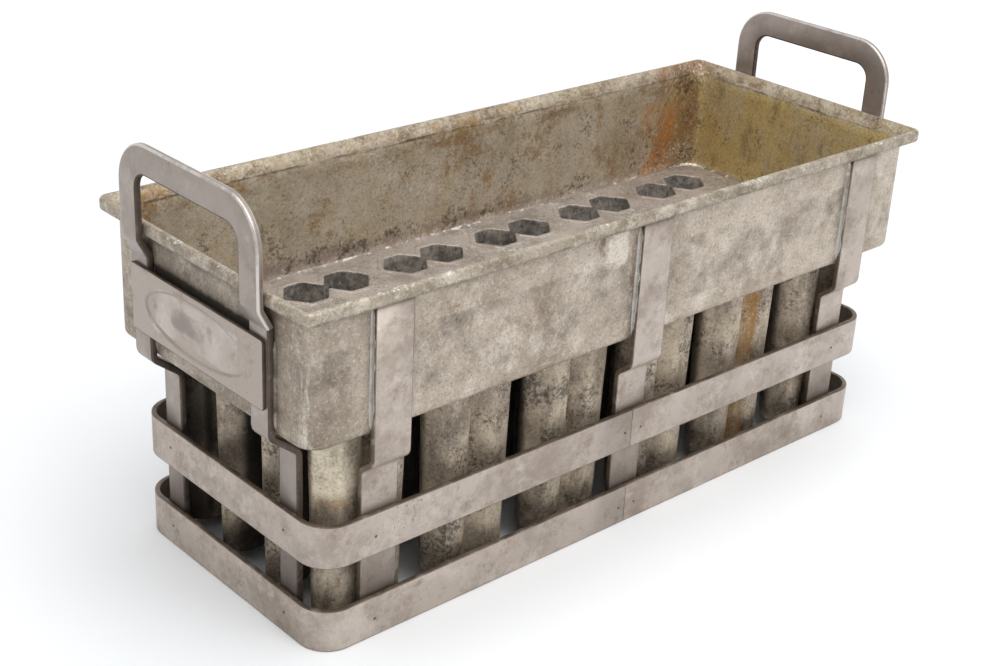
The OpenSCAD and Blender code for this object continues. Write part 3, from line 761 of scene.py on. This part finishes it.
# Plated sheet, dished: paler over the oval as a painted sheen, with a darker mauve cloud in the middle
# as painted shade of the dish.
dished_steel = weathered("dished_plated_steel", "#ab9f95", 0.7, 0.42, plated_coats[2:] + [
    # Painted sheen: paler over the oval.
    dict(colour="#c9bfb9", size=34, fade=(0.34, 0.62), cover=0.75, rough=0.38, grit=0.66,
         where=[("y", -46, -36), ("y", 46, 36), ("z", 142, 149), ("z", 177, 171)]),
    # Painted shade: a darker mauve cloud in the middle of the dish.
    dict(colour="#857873", size=24, fade=(0.36, 0.62), cover=0.75, rough=0.44, grit=0.7,
         where=[("y", -32, -12), ("y", 36, 18), ("z", 148, 157), ("z", 174, 165)]),
], [(40, 0.25), (5, 0.04)])
for end, node in ((-1, "left_end_plate"), (1, "right_end_plate")):
    low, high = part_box(node)
    half_u, half_v = (high.y - low.y) / 2, (high.z - low.z) / 2
    thick = high.x - low.x
    mid_z = (low.z + high.z) / 2
    face_x = high.x if end > 0 else low.x
    edge = round_rect(half_u, half_v, plate_corner, plate_sides, plate_turns)
    width = len(edge)
    rows = []
    for scale, outside, share in dish:
        ring = []
        for p in edge:
            turn = math.atan2(p.y / half_v, p.x / half_u)
            across = Vector((oval_b * math.cos(turn), oval_a * math.sin(turn))).normalized()
            ring.append((oval_a * scale * math.cos(turn) + across.x * outside * mm,
                         oval_b * scale * math.sin(turn) + across.y * outside * mm,
                         -oval_depth * share))
        rows.append(ring)
    for inset, drop in ((plate_edge, 0), (0.15 * plate_edge, 0.3 * plate_edge), (0, plate_edge),
                        (0, thick - plate_edge), (plate_edge, thick)):
        outline = round_rect(
            half_u - inset, half_v - inset, plate_corner - inset, plate_sides, plate_turns
        )
        rows.append([(p.x, p.y, -drop) for p in outline])
    points = []
    for ring in rows:
        for u, v, d in ring:
            front_share = max(0, 1 + d / thick)
            sag = plate_sag * noise.noise(Vector((u, v, 0)) / sag_size) * front_share
            points.append((face_x + end * (d + sag), u, mid_z + v))
    faces = skin(len(rows), width)
    # The edges and back take the dark edge finish, oxide with painted shade; the groove's faces take the
    # darker plated steel as painted shade.
    which = [
        1 if face[0] // width >= len(dish) else 2 if face[0] // width in groove else 0
        for face in faces
    ]
    middle = len(points)
    points.append((face_x - end * oval_depth, 0, mid_z))
    faces += [(i, (i + 1) % width, middle) for i in range(width)]
    faces.append(tuple(range((len(rows) - 1) * width, len(rows) * width)))
    which += [0] * (width + 1)
    plate = make_piece(
        node.replace("end_plate", "dished_plate"), points, faces,
        [dished_steel, oxide_and_shade_edge, grip_steel], which,
    )
    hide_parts(node)

# Bands: two flat steel strips bent round the straps into rings, each butted at the middle of the
# front and spot-welded to the straps. Each is one swept bar, and stands for its CAD solid.
band_t, band_edge, band_corner, band_seam = 3 * mm, 0.55 * mm, 18 * mm, 0.5 * mm
band_steps = 10
for node in ("lower_band", "upper_band"):
    low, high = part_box(node)
    mid_z = (low.z + high.z) / 2
    half_u, half_v, corner = high.x - band_t / 2, high.y - band_t / 2, band_corner - band_t / 2
    ring = round_rect(half_u, half_v, corner, band_steps, band_steps)
    # The ring starts at the right end; it is cut at the middle of the front, after the third corner.
    cut = next(
        i for i in range(len(ring))
        if ring[i].x < 0 <= ring[(i + 1) % len(ring)].x and ring[i].y < 0
    )
    ring = ring[cut + 1:] + ring[:cut + 1]
    ring = [p for p in ring if abs(p.x) > band_seam or p.y > 0]
    ring = [Vector((band_seam / 2, -half_v))] + ring + [Vector((-band_seam / 2, -half_v))]
    stations = []
    for i, p in enumerate(ring):
        ahead = ring[min(i + 1, len(ring) - 1)] - ring[max(i - 1, 0)]
        stations.append((Vector((p.x, p.y, mid_z)), Vector((ahead.y, -ahead.x, 0)).normalized()))
    band = flat_bar(
        node.replace("band", "hoop"), stations, high.z - low.z, band_t, band_edge,
        [plated_steel, bare_edge],
    )
    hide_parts(node)

# Spot welds: small pips left by the welding tips on the outside of the bands, over each strap and
# each handle leg. They are burnt steel, dark brown and dull.
burnt_steel = weathered("burnt_weld_steel", "#6b5f56", 0.6, 0.5, [
    dict(colour="#3e352e", size=2.5, fade=(0.45, 0.6), cover=0.8, rough=0.6),
    dict(colour="#877a70", size=1.6, fade=(0.56, 0.68), cover=0.6, rough=0.45),
], [(1.2, 0.04)])
pip_r, pip_h, pip_sides = 0.9 * mm, 0.2 * mm, 14
# Places along each side in mm. Those in front lie a little below the middle of the band.
front_pips, back_pips, end_pips = (-189, -5, 8, 188), (-185, 0, 185), (-54, 54)
front_drop = 1.5 * mm
# Rings of a pip: share of its radius and of its height.
pip_profile = ((1.0, -0.3), (1.0, 0.0), (0.75, 0.7), (0.4, 0.95))
for node in ("lower_band", "upper_band"):
    low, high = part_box(node)
    mid_z = (low.z + high.z) / 2
    spots = [(Vector((x * mm, low.y, mid_z - front_drop)), Vector((0, -1, 0))) for x in front_pips]
    spots += [(Vector((x * mm, high.y, mid_z)), Vector((0, 1, 0))) for x in back_pips]
    for y in end_pips:
        spots.append((Vector((low.x, y * mm, mid_z)), Vector((-1, 0, 0))))
        spots.append((Vector((high.x, y * mm, mid_z)), Vector((1, 0, 0))))
    points, faces = [], []
    for centre, out in spots:
        across = upward.cross(out)
        base = len(points)
        for radius, lift in pip_profile:
            for k in range(pip_sides):
                turn = 2 * math.pi * k / pip_sides
                points.append(
                    centre + (across * math.cos(turn) + upward * math.sin(turn)) * pip_r * radius
                    + out * pip_h * lift
                )
        faces += [tuple(base + i for i in face) for face in skin(len(pip_profile), pip_sides)]
        faces.append(tuple(base + i for i in range(pip_sides)))
        faces.append(tuple(base + (len(pip_profile) - 1) * pip_sides + i for i in range(pip_sides)))
    make_piece(f"{node}_spot_welds", points, faces, [burnt_steel])

# Floor: one wide sheet of matt white board under the mold, which also fills the view behind it.
# Matt board: it takes the shadow, and a little white of its own, away from the mold, keeps it pale.
board = bpy.data.materials.new("matt_white_board")
board.use_nodes = True
tree = board.node_tree
board_shader = tree.nodes["Principled BSDF"]
board_shader.inputs["Roughness"].default_value = 0.9
board_place = add(tree, "ShaderNodeTexCoord").outputs["Object"]
board_cloud = 400 * mm
board_grain = add(tree, "ShaderNodeTexNoise", {
    "Vector": board_place, "Scale": 1 / board_cloud, "Detail": 2.0
})
board_tone = add(tree, "ShaderNodeMix", {
    0: board_grain.outputs[0], 6: linear("#eef0f2"), 7: linear("#f4f5f6")
}, data_type="RGBA")
tree.links.new(board_tone.outputs[2], board_shader.inputs["Base Color"])
seen = add(tree, "ShaderNodeLightPath")
mirrored = add(tree, "ShaderNodeMath", {
    0: seen.outputs["Is Camera Ray"], 1: seen.outputs["Is Glossy Ray"]
}, operation="MAXIMUM")
shown = add(tree, "ShaderNodeMath", {
    0: mirrored.outputs[0], 1: seen.outputs["Is Transmission Ray"]
}, operation="MAXIMUM")
away = add(tree, "ShaderNodeVectorMath", {0: board_place}, operation="LENGTH").outputs["Value"]
glow_start, glow_full, glow = 250 * mm, 2500 * mm, 0.3
own_white = add(tree, "ShaderNodeMapRange", {
    "Value": away, "From Min": glow_start, "From Max": glow_full, "To Min": 0.0, "To Max": glow
}, interpolation_type="SMOOTHSTEP")
board_glow = add(
    tree, "ShaderNodeMath", {0: shown.outputs[0], 1: own_white.outputs[0]}, operation="MULTIPLY"
)
tree.links.new(board_glow.outputs[0], board_shader.inputs["Emission Strength"])
board_shader.inputs["Emission Color"].default_value = (1, 1, 1, 1)
floor_half = 6.0
floor_mesh = bpy.data.meshes.new("floor")
floor_mesh.from_pydata(
    [(x * floor_half, y * floor_half, 0) for x, y in ((-1, -1), (1, -1), (1, 1), (-1, 1))],
    [], [(0, 1, 2, 3)],
)
floor_mesh.materials.append(board)
floor = bpy.data.objects.new("floor", floor_mesh)
bpy.context.collection.objects.link(floor)

# Light: a white room that lights mostly from overhead and looks white to the eye and in reflections,
# with a large softbox above and a weaker one in front.
scene = bpy.context.scene
world = bpy.data.worlds.new("white_room")
scene.world = world
world.use_nodes = True
room = world.node_tree
way = add(room, "ShaderNodeTexCoord").outputs["Generated"]
climb = add(room, "ShaderNodeSeparateXYZ", {0: way}).outputs[2]
level_light, full_climb = 0.12, 0.9
brightness = add(room, "ShaderNodeMapRange", {
    "Value": climb, "From Min": 0.0, "From Max": full_climb, "To Min": level_light, "To Max": 1.0
}, interpolation_type="SMOOTHSTEP")
looked = add(room, "ShaderNodeLightPath")
reflected = add(room, "ShaderNodeMath", {
    0: looked.outputs["Is Camera Ray"], 1: looked.outputs["Is Glossy Ray"]
}, operation="MAXIMUM")
visible = add(room, "ShaderNodeMath", {
    0: reflected.outputs[0], 1: looked.outputs["Is Transmission Ray"]
}, operation="MAXIMUM")
strength = add(room, "ShaderNodeMix", {0: visible.outputs[0], 2: brightness.outputs[0], 3: 1.0})
room.nodes["Background"].inputs["Color"].default_value = linear("#fdfeff")
room.links.new(strength.outputs[0], room.nodes["Background"].inputs["Strength"])
# Each softbox: its place, what it points at and its width in metres, and its power in watts.
for name, spot, aim, size, power in (
    ("overhead_softbox", (-0.1, -0.5, 2.2), (0, 0, 0.1), 2.2, 30),
    ("front_softbox", (0.1, -2.0, 2.0), (0, 0, 0.12), 1.4, 9),
):
    lamp = bpy.data.lights.new(name, "AREA")
    lamp.shape = "SQUARE"
    lamp.size = size
    lamp.energy = power
    holder = bpy.data.objects.new(name, lamp)
    bpy.context.collection.objects.link(holder)
    holder.location = spot
    holder.rotation_euler = (Vector(aim) - Vector(spot)).to_track_quat("-Z", "Y").to_euler()

# Camera: at the photograph's place, which was found from the edges of the rim and the bands. It is a
# little rolled, and its lens gives the photograph's own angle of view.
azimuth, elevation, roll = (math.radians(a) for a in (-43.169, 25.326, 3.066))
look_at = Vector((-28.51, 0, 100.04)) * mm
distance = 1007.46 * mm
focal_px, image_w, sensor_mm = 1682.1, 1000, 36
back = Vector((
    math.sin(azimuth) * math.cos(elevation), -math.cos(azimuth) * math.cos(elevation),
    math.sin(elevation),
))
right = Vector((math.cos(azimuth), math.sin(azimuth), 0))
up = back.cross(right)
rolled_right = right * math.cos(roll) + up * math.sin(roll)
rolled_up = up * math.cos(roll) - right * math.sin(roll)
eye = bpy.data.cameras.new("eye")
eye.sensor_width = sensor_mm
eye.sensor_fit = "HORIZONTAL"
eye.lens = focal_px / image_w * sensor_mm
camera = bpy.data.objects.new("camera", eye)
bpy.context.collection.objects.link(camera)
turned = Matrix((rolled_right, rolled_up, back)).transposed().to_4x4()
camera.matrix_world = Matrix.Translation(look_at + back * distance) @ turned
scene.camera = camera
scene.view_settings.view_transform = "Standard"
